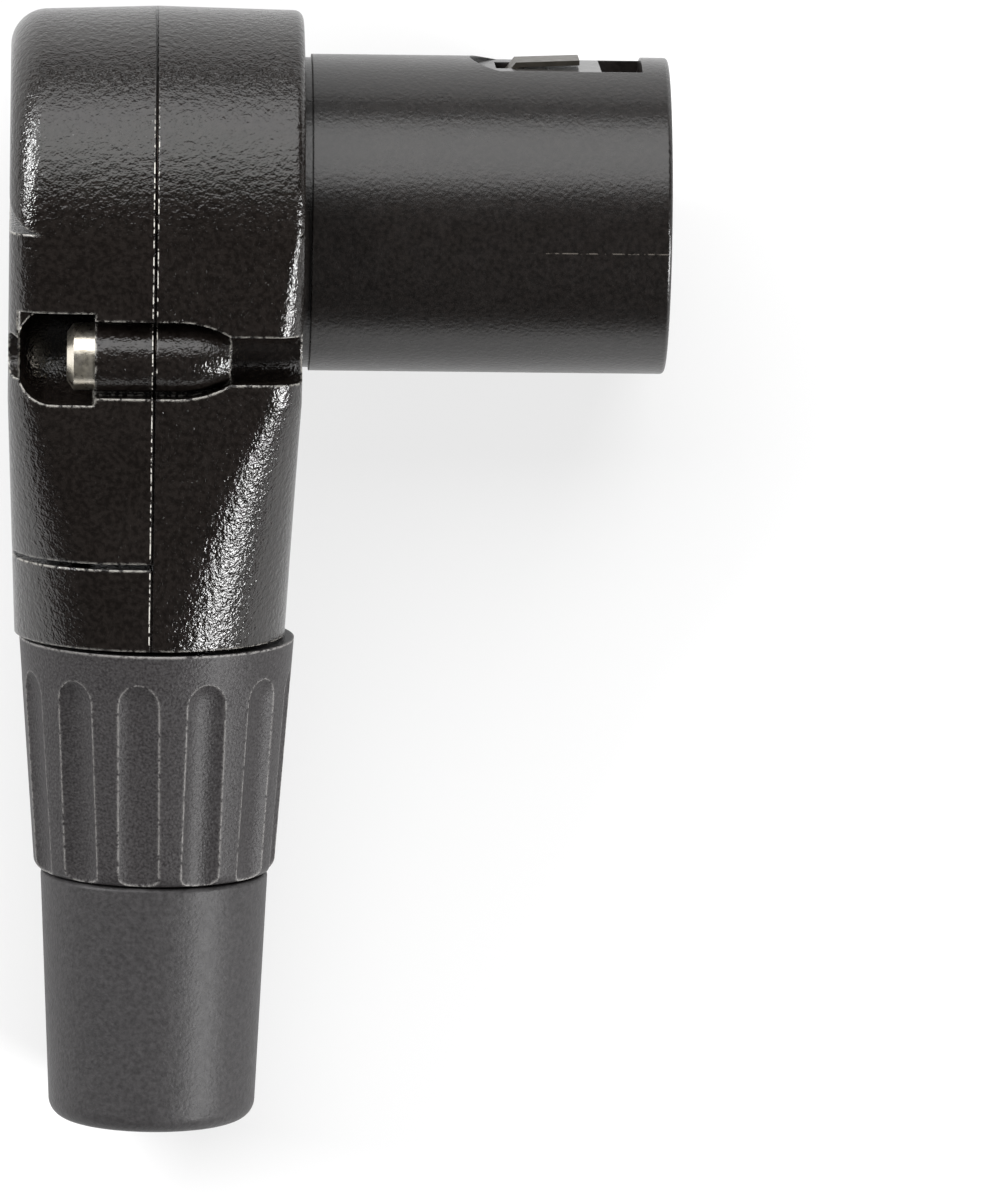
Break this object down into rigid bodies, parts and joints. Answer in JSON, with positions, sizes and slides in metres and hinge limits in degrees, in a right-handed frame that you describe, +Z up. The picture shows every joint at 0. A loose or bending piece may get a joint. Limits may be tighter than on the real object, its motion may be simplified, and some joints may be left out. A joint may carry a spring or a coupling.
{
  "type": "right-angle male audio cable plug",
  "caption": "Right-angle male three-contact round audio cable plug: die-cast head and cover, barrel shell, fluted clamping collar and rubber boot, lying on its side.",
  "frame": {"origin": "centre of the bounding box in plan, on the surface that the plug lies on", "axes": "+X along the barrel towards its mouth, +Y up the cable's line from the boot to the top of the head, +Z up out of the flank that faces up as the plug lies on its side"},
  "size_m": [0.0398, 0.0678, 0.0246],
  "materials": {
    "black_casting": "satin",
    "moulded_insert": "matte",
    "contact_metal": "polished",
    "strip_metal": "satin",
    "moulded_collar": "matte",
    "moulded_chuck": "matte",
    "boot_rubber": "matte",
    "screw_metal": "polished"
  },
  "bodies": {
    "housing": {"front_housing": "black_casting", "rear_cover": "black_casting", "male_shell": "black_casting", "contact_insert": "moulded_insert", "pin_1": "contact_metal", "pin_2": "contact_metal", "pin_3": "contact_metal", "earth_strip": "strip_metal", "cable_chuck": "moulded_chuck", "cover_screw_upper": "screw_metal", "cover_screw_lower": "screw_metal"},
    "boot": {"cable_boot": "boot_rubber"},
    "collar": {"clamp_collar": "moulded_collar"}
  },
  "joints": [
    {"name": "collar_travel", "type": "slide", "parent": "housing", "child": "boot", "axis": [-0.0024, -0.9936, -0.1127], "range_m": [0, 0.0075]},
    {"name": "collar_turn", "type": "hinge", "parent": "boot", "child": "collar", "pos_m": [-0.01065, -0.01114, 0.0086], "axis": [-0.0024, -0.9936, -0.1127], "range_deg": [0, 1800]}
  ],
  "couplings": [
    {"joint": "collar_turn", "follows": "collar_travel", "rad_per_m": 4188.8}
  ]
}
